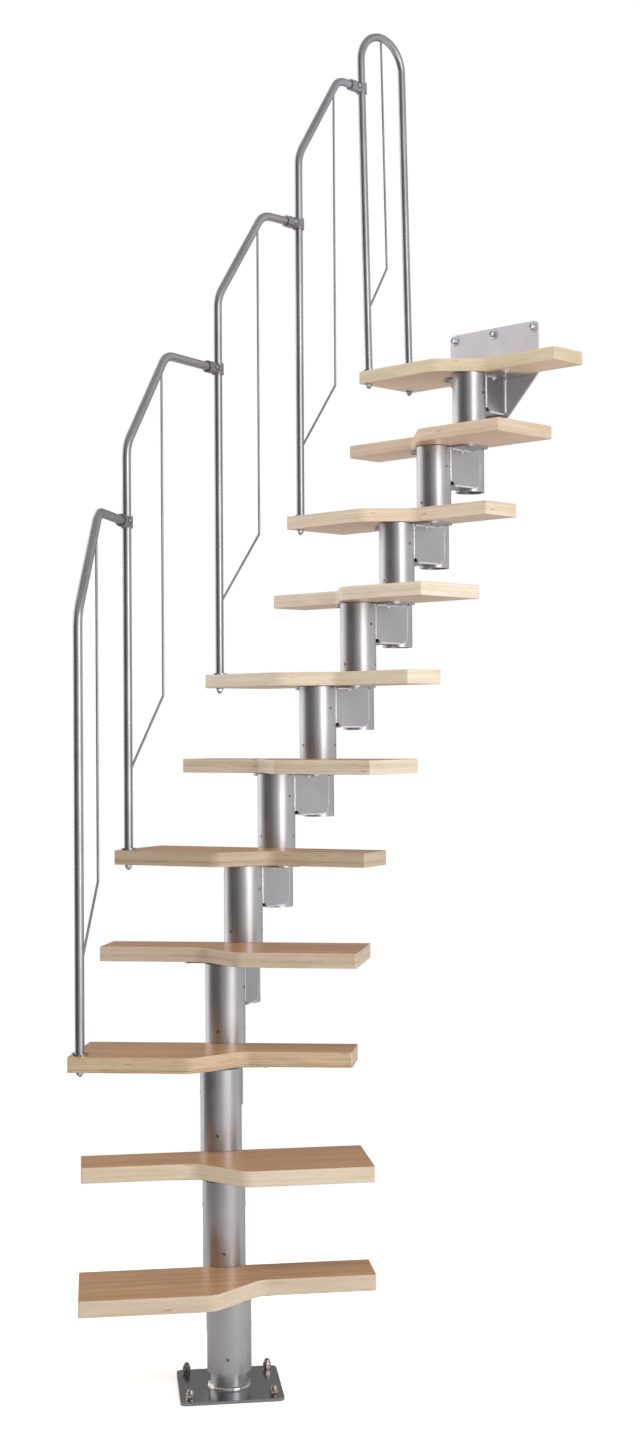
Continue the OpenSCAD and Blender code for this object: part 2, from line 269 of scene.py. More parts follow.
def steel_material(name, light, dark, metallic, rough, coat, coat_rough=0.15, skin=0.05, foot=None):
    """Lacquered steel: slow clouding, a fine flake, faint scuffs and an orange-peel skin.

    A foot gives the colour and roughness below a height, and how gradually they come in:
    (height, colour, roughness, blend). The wall plate's foot is painted shade, and the base plate's is partly
    painted shade.
    """
    material = bpy.data.materials.new(name)
    g = Graph(material)
    at = g.add("ShaderNodeTexCoord").outputs["Object"]
    cloud = g.noise(at, 7, 3)
    flake = g.noise(at, 1500, 1)
    scuff = g.noise(g.vector("MULTIPLY", at, (80, 80, 14)), 1, 4, 0.7)
    colour = g.mix(g.ramp(cloud, 0.35, 0.65), dark, light)
    colour = g.mix(g.ramp(flake, 0.2, 0.8, 0, 0.03), colour, (1, 1, 1, 1))
    finish = g.ramp(g.noise(at, 30, 3), 0.3, 0.7, rough - 0.025, rough + 0.025)
    if foot:
        height, foot_colour, foot_rough, blend = foot
        above = g.ramp(g.split(at)[2], height - blend, height + blend)
        below = g.math("SUBTRACT", 1.0, above)
        clouded = g.mix(g.ramp(cloud, 0.3, 0.7), dim(foot_colour, 0.92), foot_colour)
        colour = g.mix(above, clouded, colour)
        finish = g.math("SUBTRACT", finish, g.math("MULTIPLY", below, rough - foot_rough))
    colour = g.mix(g.ramp(scuff, 0.66, 0.85, 0, 0.12), colour, dim(dark, 0.6))
    g.shader(
        Base_Color=colour,
        Metallic=metallic,
        Roughness=finish,
        Coat_Weight=coat,
        Coat_Roughness=coat_rough,
        Normal=g.bump(g.noise(at, 900, 2), skin, 0.0002),
    )
    return material


# Tones of the veneer above and below and of a knot, and how thick a ply is. The veneer below is paler partly
# as its own face and partly as painted light from below.
TOP_LIGHT, TOP_DARK = rgb(201, 154, 105), rgb(173, 125, 81)
UNDER_LIGHT, UNDER_DARK = rgb(240, 207, 174), rgb(226, 190, 156)
KNOT = rgb(122, 82, 50)
PLY = 0.0041


def wood_faces(g, x, y, n):
    """Veneer above and below: long growth bands and veins, fine fibre and short dark rays."""
    warp = g.grain(x, 3, y, 8, n * 7.3)
    bend = g.math("MULTIPLY_ADD", warp, 0.085, y)
    rings = g.grain(x, 1.3, bend, 62, n * 3.1, 3, 0.55)
    fibre = g.grain(x, 9, y, 420, n * 1.7, 2, 0.6)
    cloud = g.grain(x, 3, y, 6, n * 2.3)
    band = g.math("ADD", g.ramp(rings, 0.36, 0.62, 0, 0.62), g.ramp(cloud, 0.3, 0.7, 0, 0.38))
    ray = g.ramp(g.grain(x, 130, y, 900, n * 5.9, 1), 0.62, 0.72)
    contour = g.math("FRACT", g.math("MULTIPLY", rings, 13))
    vein = g.ramp(g.math("ABSOLUTE", g.math("SUBTRACT", contour, 0.5)), 0, 0.22, 1, 0)
    vein = g.math("MULTIPLY", vein, g.ramp(cloud, 0.3, 0.65, 0.12, 0.42))

    top = g.mix(band, TOP_DARK, TOP_LIGHT)
    top = g.mix(vein, top, tint(TOP_DARK, 0.72, 0.58, 0.48))
    top = g.mix(g.ramp(fibre, 0.35, 0.75, 0, 0.22), top, dim(TOP_DARK, 0.6))
    top = g.mix(g.math("MULTIPLY", ray, 0.3), top, dim(TOP_DARK, 0.45))
    under = g.mix(band, UNDER_DARK, UNDER_LIGHT)
    under = g.mix(g.ramp(fibre, 0.35, 0.75, 0, 0.16), under, dim(UNDER_DARK, 0.72))
    under = g.mix(g.math("MULTIPLY", ray, 0.25), under, dim(UNDER_DARK, 0.5))
    return top, under, band, fibre


def wood_knots(g, along, z, n):
    """Where the edges have a knot, which is rare, and where the softer shade round it is."""
    cells = g.add("ShaderNodeTexVoronoi", feature="F1")
    g.put(cells.inputs["Vector"], g.scaled(along, 22, z, 170, n * 1.9))
    cells.inputs["Scale"].default_value = 1.0
    pick = g.add("ShaderNodeSeparateColor")
    g.put(pick.inputs[0], cells.outputs["Color"])
    rare = g.math("GREATER_THAN", pick.outputs[0], 0.91)
    halo = g.math("MULTIPLY", rare, g.ramp(cells.outputs["Distance"], 0.42, 0.24))
    knot = g.math("MULTIPLY", rare, g.ramp(cells.outputs["Distance"], 0.24, 0.06))
    return halo, knot


def wood_edge(g, along, z, n, light, lines):
    """Plies of uneven thickness and tone; a few glue lines show, broken into dashes."""
    dark = tint(light, 0.74, 0.66, 0.56)
    wander = g.grain(along, 4, z, 20, n * 4.7)
    uneven = g.grain(along, 0.3, z, 260, n * 5.3)
    level = g.math("MULTIPLY_ADD", wander, 0.0018, g.math("MULTIPLY_ADD", uneven, 0.0034, z))
    ply = g.math("DIVIDE", level, PLY)
    layer = g.math("FLOOR", ply)
    white = g.add("ShaderNodeTexWhiteNoise", noise_dimensions="1D")
    g.put(white.inputs["W"], g.math("ADD", layer, n * 31.0))
    tone = white.outputs["Value"]
    streak = g.grain(along, 26, z, 950, n * 6.1, 3, 0.65)
    patch = g.grain(along, 6, z, 45, n * 9.7)
    shade = g.math("MULTIPLY", tone, 0.22)
    shade = g.math("ADD", shade, g.ramp(streak, 0.44, 0.74, 0, 0.3 + 0.25 * lines))
    shade = g.math("ADD", shade, g.ramp(patch, 0.35, 0.7, -0.06, 0.24), clamp=True)
    edge = g.mix(shade, light, dark)

    step = g.math("ABSOLUTE", g.math("SUBTRACT", g.math("SUBTRACT", ply, layer), 0.5))
    glue = g.math("SUBTRACT", 1.0, g.ramp(step, 0.5, 0.34))
    broken = g.grain(along, 15, layer, 3.3, n * 2.9, 4, 0.7)
    shown = g.ramp(tone, 0.3, 0.65, 0.25, 1)
    shown = g.math("MULTIPLY", shown, g.ramp(broken, 0.36, 0.56, 0.12 * lines, lines))
    edge = g.mix(g.math("MULTIPLY", glue, shown), edge, tint(light, 0.28, 0.17, 0.10))

    halo, knot = wood_knots(g, along, z, n)
    edge = g.mix(g.math("MULTIPLY", halo, 0.35), edge, dark)
    edge = g.mix(g.math("MULTIPLY", knot, 0.65), edge, KNOT)
    return edge, streak, knot


def wood_material(n, place, light, lines):
    """Beech plywood of one tread: varnished veneer above and below, plies and knots on its edges.

    The edge's tone differs from board to board, partly as boards do and partly as painted light and shade for
    how lit each edge is; so does the strength of its glue lines.
    """
    material = bpy.data.materials.new(f"tread_wood_{n:02d}")
    g = Graph(material)
    local = g.add("ShaderNodeMapping", vector_type="TEXTURE")
    local.inputs["Location"].default_value = place.to_translation()
    local.inputs["Rotation"].default_value = place.to_euler()
    g.put(local.inputs["Vector"], g.add("ShaderNodeTexCoord").outputs["Object"])
    x, y, z = g.split(local.outputs[0])
    slope = g.split(g.add("ShaderNodeNewGeometry").outputs["True Normal"])[2]
    is_top = g.ramp(slope, 0.55, 0.8)
    is_under = g.ramp(slope, -0.55, -0.8)
    is_face = g.math("MAXIMUM", is_top, is_under)
    is_edge = g.math("SUBTRACT", 1.0, is_face)
    top, under, band, fibre = wood_faces(g, x, y, n)
    edge, streak, knot = wood_edge(g, g.math("ADD", x, y), z, n, light, lines)
    height = g.math("ADD", g.math("MULTIPLY", fibre, is_face), g.math("MULTIPLY", streak, is_edge))
    height = g.math("SUBTRACT", height, g.math("MULTIPLY", knot, 1.5))
    g.shader(
        Base_Color=g.mix(is_under, g.mix(is_top, edge, top), under),
        Roughness=g.math("MULTIPLY_ADD", band, 0.06, g.ramp(is_face, 0, 1, 0.5, 0.38)),
        Normal=g.bump(height, 0.16, 0.0004),
        Coat_Weight=0.4,
        Coat_Roughness=0.22,
    )
    return material


# Each finish has a light and a dark tone, then how metallic, rough and thickly lacquered it is.
# The base plate is darker and smoother than its tube, and the wall plate darker at its lower end, painted
# shade of the top tread.
SILVER = steel_material("satin_silver", rgb(188, 186, 189), rgb(178, 176, 179), 0.92, 0.33, 0.1)
RAIL = steel_material("rail_silver", rgb(172, 172, 177), rgb(160, 160, 165), 0.95, 0.29, 0.1)
# The weld beads are the modules' silver painted much lighter: a painted highlight.
WELD_PAINTED_HIGHLIGHT = steel_material("weld_silver_painted_highlight", rgb(240, 240, 242), rgb(222, 221, 224), 0.5, 0.24, 0.3, 0.1)
RING = steel_material("ring_silver", rgb(206, 205, 207), rgb(184, 183, 186), 0.95, 0.2, 0.2, 0.1)
# The base plate's darker tone is partly its own finish and partly painted shade, for the dark surroundings it
# reflects.
BASE = steel_material("base_silver", rgb(188, 186, 189), rgb(178, 176, 179), 0.92, 0.3, 0.1,
                      foot=(BASE_T + 0.0004, rgb(156, 154, 157), 0.17, 0.0001))
ROD = steel_material("rod_steel", rgb(160, 160, 166), rgb(146, 146, 152), 0.9, 0.38, 0.1)
CLAMP = steel_material("clamp_grey", rgb(152, 150, 155), rgb(138, 136, 141), 0.7, 0.36, 0.2)
# The wall plate's silver is lighter than the modules', painted light, and darker below the top tread, painted
# shade.
WALL = steel_material("wall_silver_painted_light_and_shade", rgb(242, 239, 244), rgb(234, 231, 236), 0.8, 0.42, 0.05,
                      foot=(tread_under(MODULES) + 0.01, rgb(194, 191, 196), 0.42, 0.05))
CHROME = steel_material("bright_zinc", rgb(222, 222, 224), rgb(202, 203, 206), 1.0, 0.14, 0.0)
NUT = steel_material("nickel_nut", rgb(176, 168, 162), rgb(150, 143, 138), 1.0, 0.09, 0.0, skin=0.02)
FIXING = steel_material("fixing_chrome", rgb(180, 182, 188), rgb(158, 160, 166), 1.0, 0.12, 0.0)
ZINC = steel_material("zinc_bolt", rgb(232, 236, 240), rgb(214, 219, 224), 0.9, 0.2, 0.0)
SCREW = steel_material("screw_grey", rgb(132, 138, 148), rgb(92, 95, 102), 1.0, 0.14, 0.0)
# A black rim round each clamp screw: painted shade of the screw's hole.
HOLE_PAINTED_SHADE = steel_material("hole_painted_shade", rgb(66, 68, 72), rgb(44, 45, 48), 1.0, 0.2, 0.0)

# Tone of each tread's edge, partly the board's own and partly painted light and shade, and how strongly its
# glue lines show, from the lowest tread up.
BOARDS = (
    ((235, 215, 189), 0.15), ((244, 226, 198), 0.30), ((233, 206, 171), 2.20), ((228, 207, 183), 0.90),
    ((213, 191, 162), 1.10), ((247, 231, 208), 0.85), ((252, 237, 213), 0.55), ((255, 240, 219), 0.60),
    ((246, 227, 203), 0.55), ((234, 208, 183), 0.45), ((228, 214, 183), 0.25),
)


# ---------------------------------------------------------------- shapes
# Sides of a turned piece, of a weld bead and of a drop; rows of a drop; spacing of a bead's rings.
ROUND = 24
BEAD_SIDES = 10
DROP_SIDES = 12
DROP_ROWS = 8
BEAD_STEP = 0.001
# Angle from which the edges of a screw or nut stay sharp, in degrees.
CRISP = 40


class Shape:
    """Vertices and faces gathered into one piece."""

    def __init__(self):
        self.vertices = []
        self.faces = []

    def rings(self, rings, place, closed=False):
        """Skins a row of rings of equal length; a ring of one point closes an end."""
        starts = []
        for ring in rings:
            starts.append(len(self.vertices))
            self.vertices += [place @ Vector(p) for p in ring]
        pairs = list(zip(range(len(rings)), range(1, len(rings))))
        if closed:
            pairs.append((len(rings) - 1, 0))
        for a, b in pairs:
            count_a, count_b = len(rings[a]), len(rings[b])
            count = max(count_a, count_b)
            one, two = starts[a], starts[b]
            for i in range(count):
                j = (i + 1) % count
                if count_a == 1:
                    self.faces.append((one, two + j, two + i))
                elif count_b == 1:
                    self.faces.append((one + i, one + j, two))
                else:
                    self.faces.append((one + i, one + j, two + j, two + i))

    def turned(self, profile, place, flats=()):
        """Revolves (radius, height) pairs; an index in flats makes that ring a hexagon."""
        rings = []
        for index, (radius, height) in enumerate(profile):
            if radius == 0:
                rings.append([(0, 0, height)])
                continue
            ring = []
            for i in range(ROUND):
                a = 2 * math.pi * i / ROUND
                r = radius
                if index in flats:
                    r = radius / math.cos((a + math.pi / 6) % (math.pi / 3) - math.pi / 6)
                ring.append((r * math.cos(a), r * math.sin(a), height))
            rings.append(ring)
        self.rings(rings, place)

    def bead(self, path, outs, size, place, seed, closed=False, pitch=0.0034, ripple=0.07):
        """A weld bead along a path: half-buried ovals that swell and sag like laid drops.

        The outs are the directions that it stands out in, or one for the whole path.
        """
        width, height = size
        count = len(path)
        if not isinstance(outs, list):
            outs = [outs] * count
        rings = []
        length = 0.0
        for i in range(count):
            here = Vector(path[i])
            before = Vector(path[i - 1] if i or closed else path[0])
            after = Vector(path[(i + 1) % count] if i + 1 < count or closed else path[-1])
            along = (after - before).normalized()
            out = Vector(outs[i]).normalized()
            side = along.cross(out).normalized()
            if i:
                length += (here - Vector(path[i - 1])).length
            drop = abs(math.sin(math.pi * length / pitch))
            wobble = noise.noise(Vector((length * 130, seed, 0)))
            drift = noise.noise(Vector((length * 60, seed, 9))) * width * 0.08
            swell = 1 - ripple * (1 - drop) + 0.14 * wobble
            if not closed:
                end = min(i, count - 1 - i) / 3
                swell *= math.sqrt(min(1, 0.15 + end))
            ring = []
            for k in range(BEAD_SIDES):
                a = 2 * math.pi * k / BEAD_SIDES
                across = side * (math.cos(a) * width / 2 * swell + drift)
                bow = along * (-0.0011 * math.cos(a) ** 2)
                ring.append(here + across + out * math.sin(a) * height * swell + bow)
            rings.append(ring)
        if not closed:
            rings = [[Vector(path[0])]] + rings + [[Vector(path[-1])]]
        self.rings(rings, place, closed)

    def blob(self, at, size, place, seed):
        """An uneven drop of weld metal."""
        rings = []
        for i in range(DROP_ROWS + 1):
            polar = math.pi * i / DROP_ROWS
            ring = []
            for k in range(DROP_SIDES if 0 < i < DROP_ROWS else 1):
                a = 2 * math.pi * k / DROP_SIDES
                way = Vector((math.sin(polar) * math.cos(a), math.sin(polar) * math.sin(a), math.cos(polar)))
                swell = 1 + 0.28 * noise.noise(way * 1.6 + Vector((seed, 0, 0)))
                ring.append(Vector(at) + Vector(w * s * swell for w, s in zip(way, size)))
            rings.append(ring)
        self.rings(rings, place)

    def make(self, name, material, slot, crisp=None):
        mesh = bpy.data.meshes.new(name)
        mesh.from_pydata(self.vertices, [], self.faces)
        for face in mesh.polygons:
            face.use_smooth = True
        if crisp:
            mesh.set_sharp_from_angle(angle=math.radians(crisp))
        mesh.materials.append(material)
        piece = bpy.data.objects.new(name, mesh)
        bpy.context.scene.collection.objects.link(piece)
        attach(piece, "root")


def line(start, end):
    start, end = Vector(start), Vector(end)
    count = max(2, int((end - start).length / BEAD_STEP))
    return [start.lerp(end, i / count) for i in range(count + 1)]


def washer(shape, place, radius, thick, edge, inner):
    shape.turned([(0.004, 0), (radius - 0.0003, 0), (radius, 0.0003), (radius, thick - edge),
                  (radius - edge, thick), (inner, thick)], place)


def cap_nut(shape, place):
    """A domed nut on its washer; flats is half its width across them."""
    flats, tall, thick = 0.0075, 0.0215, 0.002
    washer(shape, place, 0.0088, thick, 0.0003, flats * 0.9)
    r, stretch = flats * 0.88, 1.12
    neck = tall - r * stretch
    turns = [math.pi / 2 * i / 7 for i in range(7)]
    dome = [(r * math.cos(a), neck + r * math.sin(a) * stretch) for a in turns]
    shape.turned([(flats * 0.97, thick), (flats, thick + 0.0005), (flats, neck - 0.0019),
                  (flats * 0.96, neck - 0.001), (r * 1.02, neck - 0.0005)] + dome + [(0, tall)],
                 place, flats=(0, 1, 2))


def hex_bolt(shape, place):
    """A bolt's head on its washer; flats is half its width across them."""
    flats, thick = 0.0080, 0.0023
    washer(shape, place, 0.0138, thick, 0.0004, flats * 0.9)
    shape.turned([(flats * 0.98, thick), (flats, thick + 0.0005), (flats, 0.0072), (flats * 0.97, 0.0082),
                  (flats * 0.85, 0.0087), (flats * 0.8, 0.0084), (0, 0.0083)], place, flats=(0, 1, 2))


def socket_screw(shape, place, radius, height, socket):
    edge = min(0.0004, radius * 0.1)
    shape.turned([(radius, -0.001), (radius, height - edge), (radius - edge, height),
                  (socket + 0.0003, height), (socket, height - 0.0003), (socket, height - 0.003),
                  (0, height - 0.0034)], place, flats=(3, 4, 5))


def set_screw(shape, place):
    """A grub screw sunk in its hole: a dark lip round a dish with a hexagon socket."""
    shape.turned([(0.0038, -0.0008), (0.0036, 0.0002), (0.0034, 0.00035), (0.0031, 0.00035), (0.0022, 0.0001),
                  (0.0014, 0.00005), (0.0012, 0.00002), (0, 0.00001)], place, flats=(5, 6))


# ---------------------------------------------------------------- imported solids
def make_skin():
    """Merges a solid's triangles into one smooth skin, without the normals it came with."""
    group = bpy.data.node_groups.new("smooth_skin", "GeometryNodeTree")
    for direction in ("INPUT", "OUTPUT"):
        group.interface.new_socket("Geometry", in_out=direction, socket_type="NodeSocketGeometry")
    start = group.nodes.new("NodeGroupInput")
    merge = group.nodes.new("GeometryNodeMergeByDistance")
    merge.inputs["Distance"].default_value = 0.00001
    drop = group.nodes.new("GeometryNodeRemoveAttribute")
    drop.inputs["Name"].default_value = "custom_normal"
    smooth = group.nodes.new("GeometryNodeSetShadeSmooth")
    end = group.nodes.new("NodeGroupOutput")
    chain = [start, merge, drop, smooth, end]
    for a, b in zip(chain, chain[1:]):
        group.links.new(a.outputs[0], b.inputs[0])
    return group


SKIN = make_skin()


def soften(node, width, segments=3):
    """Rounds a solid's edges with modifiers; its own mesh stays as packed."""
    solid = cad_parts[node]
    solid.modifiers.new("skin", "NODES").node_group = SKIN
    planes = solid.modifiers.new("planes", "DECIMATE")
    planes.decimate_type = "DISSOLVE"
    planes.angle_limit = math.radians(0.4)
    edges = solid.modifiers.new("edges", "BEVEL")
    edges.width = width
    edges.segments = segments
    edges.limit_method = "ANGLE"
    edges.angle_limit = math.radians(35)
    normals = solid.modifiers.new("normals", "WEIGHTED_NORMAL")
    normals.keep_sharp = True


def finish_node(node, material):
    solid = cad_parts[node]
    solid.data.materials.clear()
    solid.data.materials.append(material)


def finish_solids():
    for n, (tone, lines) in enumerate(BOARDS, 1):
        finish_node(module_node(n), SILVER)
        soften(module_node(n), 0.0007)
        finish_node(tread_node(n), wood_material(n, tread_place(n), rgb(*tone), lines))
        soften(tread_node(n), 0.0014)
    finish_node("base_plate", BASE)
    soften("base_plate", 0.0008)
    finish_node("wall_plate", WALL)
    soften("wall_plate", 0.0007)
    for i in range(1, POST_FIXINGS + 1):
        finish_node(f"post_fixing_{i}", FIXING)
        soften(f"post_fixing_{i}", 0.0004, 2)
    for i in range(1, RAILS + 1):
        finish_node(f"handrail_{i}", RAIL)
        finish_node(f"rail_clamp_{i}", CLAMP)
        soften(f"rail_clamp_{i}", 0.0009)
    finish_node("handrail_hoop", RAIL)
    for i in range(1, RODS + 1):
        finish_node(f"filler_rod_{i}", ROD)


# ---------------------------------------------------------------- welds
# Width and height of each bead. How far its middle stands off the corner it fills.
WALL_BEAD = (0.0078, 0.0030)
BACK_BEAD = (0.0042, 0.0012)
FOOT_BEAD = (0.0056, 0.0014)
SEAT_BEAD = (0.0050, 0.0019)
SADDLE_BEAD = (0.0046, 0.0018)
RING_BEAD = (0.0100, 0.0028)
PROUD = 0.0004
# The seam between a sleeve and its side plates: its height, then for a module its width and the
# ripple and spacing of its drops. Four modules differ, as hand-laid welds do; 0 stands for the rest.
SEAM_H = 0.0028
SEAMS = {
    0: (0.0060, 0.04, 0.0042), 7: (0.0048, 0.03, 0.0042), 8: (0.0064, 0.34, 0.0059),
    10: (0.0066, 0.02, 0.0042), 11: (0.0080, 0.13, 0.0064),
}
# Heights of the welds under the seat and of the cut-out's top, from the tread's underside.
SEAT_UNDER = -SEAT_T - 0.0003
CUT_TOP = -SIDE_H + FOOT_CUT
# The ring at the foot of the base's tube: its radius, its height above the plate, and the
# directions, in degrees, of the drops along it.
RING_R = INNER_R + 0.0022
RING_Z = 0.0018
RING_DROPS = (-62, -58, -128, -124, 15, 95, 160, 200)


def weld_seam(weld, n, place, side, seed):
    """Sleeve to side plate, ending in a drop at the plate's cut-out."""
    x = side * INNER_R
    width, ripple, pitch = SEAMS.get(n, SEAMS[0])
    path = line((x + side * PROUD, MEET - 0.0003, -SEAT_T - 0.001),
                (x + side * PROUD, MEET - 0.0003, CUT_TOP + 0.004))
    weld.bead(path, (side * 0.92, -0.1, 0), (width, SEAM_H), place, seed, pitch=pitch, ripple=ripple)
    weld.blob((x + side * 0.0008, MEET, CUT_TOP + 0.003), (0.0026, 0.0036, 0.0042), place, seed + 0.3)


def weld_wall(weld, place, side, far, seed):
    """Side plate to wall plate, starting in a drop under the seat."""
    x = side * INNER_R
    path = line((x + side * 0.0006, far - 0.0006, -SEAT_T - 0.002),
                (x + side * 0.0006, far - 0.0006, -SIDE_H + 0.003))
    weld.bead(path, (side * 0.7, -0.7, 0), WALL_BEAD, place, seed)
    weld.blob((x + side * 0.002, far - 0.001, -SEAT_T - 0.003), (0.0042, 0.0036, 0.0044), place, seed + 0.5)


def weld_back(weld, place, side, far, seed):
    """Side plate to inner tube, down the plate's back edge and round its lower corner."""
    x = side * INNER_R - side * SIDE_T / 2
    path = line((x, far, -SEAT_T - 0.003), (x, far, -SIDE_H + SIDE_R))
    outs = [(side * 0.25, 1, 0)] * len(path)
    steps = 18
    for i in range(1, steps + 1):
        a = math.pi / 2 * i / steps
        path.append(Vector((x, WEB_Y + SIDE_R * math.cos(a), -SIDE_H + SIDE_R - SIDE_R * math.sin(a))))
        outs.append((side * 0.2, math.cos(a), -math.sin(a)))
    weld.bead(path, outs, BACK_BEAD, place, seed)


def weld_foot(weld, place, side, far, seed):
    """Side plate to web, along the plate's lower edge behind its cut-out."""
    x = side * INNER_R - side * PROUD
    cut_end = MEET + 1.6 * FOOT_CUT
    path = line((x, cut_end + 0.002, -SIDE_H), (x, min(far, WEB_Y) - 0.002, -SIDE_H))
    weld.bead(path, (side * 0.7, 0, -0.7), FOOT_BEAD, place, seed)


def weld_seat(weld, place, side, far, seed):
    """Side plate to seat, with three drops where the bead was begun again."""
    x = side * INNER_R
    path = line((x + side * PROUD, MEET + 0.006, SEAT_UNDER), (x + side * PROUD, far - 0.036, SEAT_UNDER))
    weld.bead(path, (side * 0.7, 0, -0.7), SEAT_BEAD, place, seed)
    y = MEET + 0.4 * (far - MEET)
    for shift, step in ((-0.0035, 0.2), (0.0035, 0.4)):
        at = (x + side * 0.0012, y + shift, -SEAT_T - 0.0022)
        weld.blob(at, (0.0026, 0.0042, 0.0030), place, seed + step)
    weld.blob((x + side * PROUD, y, -SEAT_T - 0.0062), (0.0018, 0.0028, 0.0034), place, seed + 0.6)


def weld_saddle(weld, place, side, seed):
    """Sleeve to seat, from the seat's front edge round to the side plate."""
    path, outs = [], []
    for i in range(14):
        a = math.radians(17 + i * 1.2)
        path.append(Vector((side * SLEEVE_R * math.cos(a), SLEEVE_R * math.sin(a), SEAT_UNDER)))
        outs.append((side * math.cos(a), math.sin(a), -0.8))
    weld.bead(path, outs, SADDLE_BEAD, place, seed)


def add_welds(n, place):
    weld = Shape()
    for side in (-1, 1):
        seed = n * 10 + side
        weld_seam(weld, n, place, side, seed)
        if n == MODULES:
            turn = place.to_3x3()
            far = (WALL_LOW.y - place.translation.y - turn[1][0] * side * INNER_R) / turn[1][1]
            weld_wall(weld, place, side, far, seed + 2)
        else:
            far = GOING - SIDE_T
            weld_back(weld, place, side, far, seed + 3)
        weld_foot(weld, place, side, far, seed + 4)
        weld_seat(weld, place, side, far, seed + 5)
        weld_saddle(weld, place, side, seed + 6)
    weld.make(f"weld_{n:02d}", WELD_PAINTED_HIGHLIGHT, "module_steel")


def add_base_weld():
    """A ring of weld round the foot of the base's tube."""
    ring = Shape()
    path, outs = [], []
    count = 220
    for i in range(count):
        a = 2 * math.pi * i / count
        path.append((RING_R * math.cos(a), RING_R * math.sin(a), RING_Z))
        outs.append((math.cos(a), math.sin(a), 0.9))
    ring.bead(path, outs, RING_BEAD, base_place(), 3.7, closed=True, pitch=0.0064, ripple=0.04)
    reach = RING_R + 0.0012
    for i, around in enumerate(RING_DROPS):
        a = math.radians(around)
        at = (reach * math.cos(a), reach * math.sin(a), RING_Z + 0.0006)
        ring.blob(at, (0.0030, 0.0036, 0.0020), base_place(), 7.1 + i)
    ring.make("base_weld", RING, "base_plate")


# ---------------------------------------------------------------- screws and caps
# Each sleeve's front set screw: its direction in the module's own place and its
# height above the sleeve's lower end. Two more follow, each a third of a turn on.
SET_SCREWS = (
    (-98, 0.031), (-93, 0.039), (-96, 0.045), (-95, 0.039), (-97, 0.037), (-98, 0.039),
    (-98, 0.044), (-95, 0.034), (-93, 0.039), (-94, 0.039), (-94, 0.039),
)
# Height of the set screws at the sleeve's two sides, and places of the four screws under the seat.
SIDE_SCREW_Z = -0.054
SEAT_SCREW_X = 0.096
SEAT_SCREW_Y = (0.028, 0.085)


def add_set_screws(n, place):
    front, height = SET_SCREWS[n - 1]
    z = AXES[n - 1].z - tread_under(n) + height
    screws = Shape()
    spots = [(front, z), (front + 120, z), (front + 240, z), (0, SIDE_SCREW_Z), (180, SIDE_SCREW_Z)]
    for around, up in spots:
        a = math.radians(around)
        way = Vector((math.cos(a), math.sin(a), 0))
        set_screw(screws, facing(way * SLEEVE_R + Vector((0, 0, up)), way, place))
    screws.make(f"set_screws_{n:02d}", SCREW, "fixing_zinc", CRISP)


def add_seat_screws(n, place):
    screws = Shape()
    for x in (-SEAT_SCREW_X, SEAT_SCREW_X):
        for y in SEAT_SCREW_Y:
            spot = facing((x, y, -SEAT_T), (0, 0, -1), place)
            screws.turned([(0.0068, 0), (0.0068, 0.0005), (0.0064, 0.0008), (0.004, 0.0008)], spot)
            socket_screw(screws, spot, 0.0050, 0.0026, 0.0022)
    screws.make(f"seat_screws_{n:02d}", RAIL, "fixing_zinc", CRISP)


def add_sleeve_caps():
    """A steel disc closes the top of each sleeve, just under its tread."""
    caps = Shape()
    top = -SLEEVE_GAP
    for n in range(1, MODULES + 1):
        caps.turned([(INNER_R, top - 0.004), (INNER_R, top - 0.0006),
                     (INNER_R - 0.0005, top - 0.0001), (0, top)], module_place(n))
    caps.make("sleeve_caps", SILVER, "module_steel", CRISP)


def add_base_nuts():
    """A cap nut at each corner of the base plate, each tightened to another angle."""
    place = base_place()
    back = place.inverted()
    half = max((back @ p).x for p in points("base_plate") if abs(p.z - BASE_T) < 0.0002)
    nuts = Shape()
    for x in (-1, 1):
        for y in (-1, 1):
            spot = place @ Matrix.Translation((x * (half - BASE_EDGE), y * (half - BASE_EDGE), 0))
            cap_nut(nuts, spot @ Matrix.Rotation(0.5 * x + 0.3 * y, 4, "Z"))
    nuts.make("base_nuts", NUT, "fixing_zinc", CRISP)


def add_wall_bolts():
    """Three bolts along the top of the wall plate, each tightened to another angle."""
    bolts = Shape()
    for k in (-1, 0, 1):
        spot = facing((WALL_X + k * WALL_PITCH, WALL_LOW.y, WALL_HIGH.z - WALL_EDGE), (0, -1, 0))
        hex_bolt(bolts, spot @ Matrix.Rotation(0.3 + 0.4 * k, 4, "Z"))
    bolts.make("wall_bolts", ZINC, "fixing_zinc", CRISP)


def add_clamp_screws():
    """A screw on the flat side of each rail clamp that the camera sees, in a black rim that is painted shade
    of its hole.
    """
    hole_shades, screws = Shape(), Shape()
    for i in range(1, RAILS + 1):
        clamp = f"rail_clamp_{i}"
        at = box_middle(clamp)
        way = broad_heading(clamp, 2)
        along = Vector((-way.y, way.x, 0))
        way = towards(way, CAMERA_AT - at)
        along = towards(along, box_middle(f"handrail_{i}") - at)
        centre = Vector((0, 0, at.z + 0.0015))
        centre += way * (max(p.dot(way) for p in points(clamp)))
        centre += along * (middle(p.dot(along) for p in points(clamp)) + 0.005)
        spot = facing(centre, way)
        hole_shades.turned([(0.0080, -0.0008), (0.0078, 0.0003), (0.0072, 0.0005), (0.0062, 0.0003),
                     (0.0053, 0.0001)], spot)
        screws.turned([(0.0055, -0.0008), (0.0054, 0.0002), (0.0048, 0.0005), (0.0030, 0.0003),
                       (0.0027, -0.0001), (0, -0.0004)], spot, flats=(3, 4))
    hole_shades.make("clamp_screw_hole_shades", HOLE_PAINTED_SHADE, "fixing_zinc", CRISP)
    screws.make("clamp_screws", CHROME, "fixing_zinc", CRISP)


finish_solids()
for module in range(1, MODULES + 1):
    own_place = module_place(module)
    add_welds(module, own_place)
    add_set_screws(module, own_place)
    add_seat_screws(module, own_place)
add_sleeve_caps()
add_base_nuts()
add_base_weld()
add_wall_bolts()
add_clamp_screws()


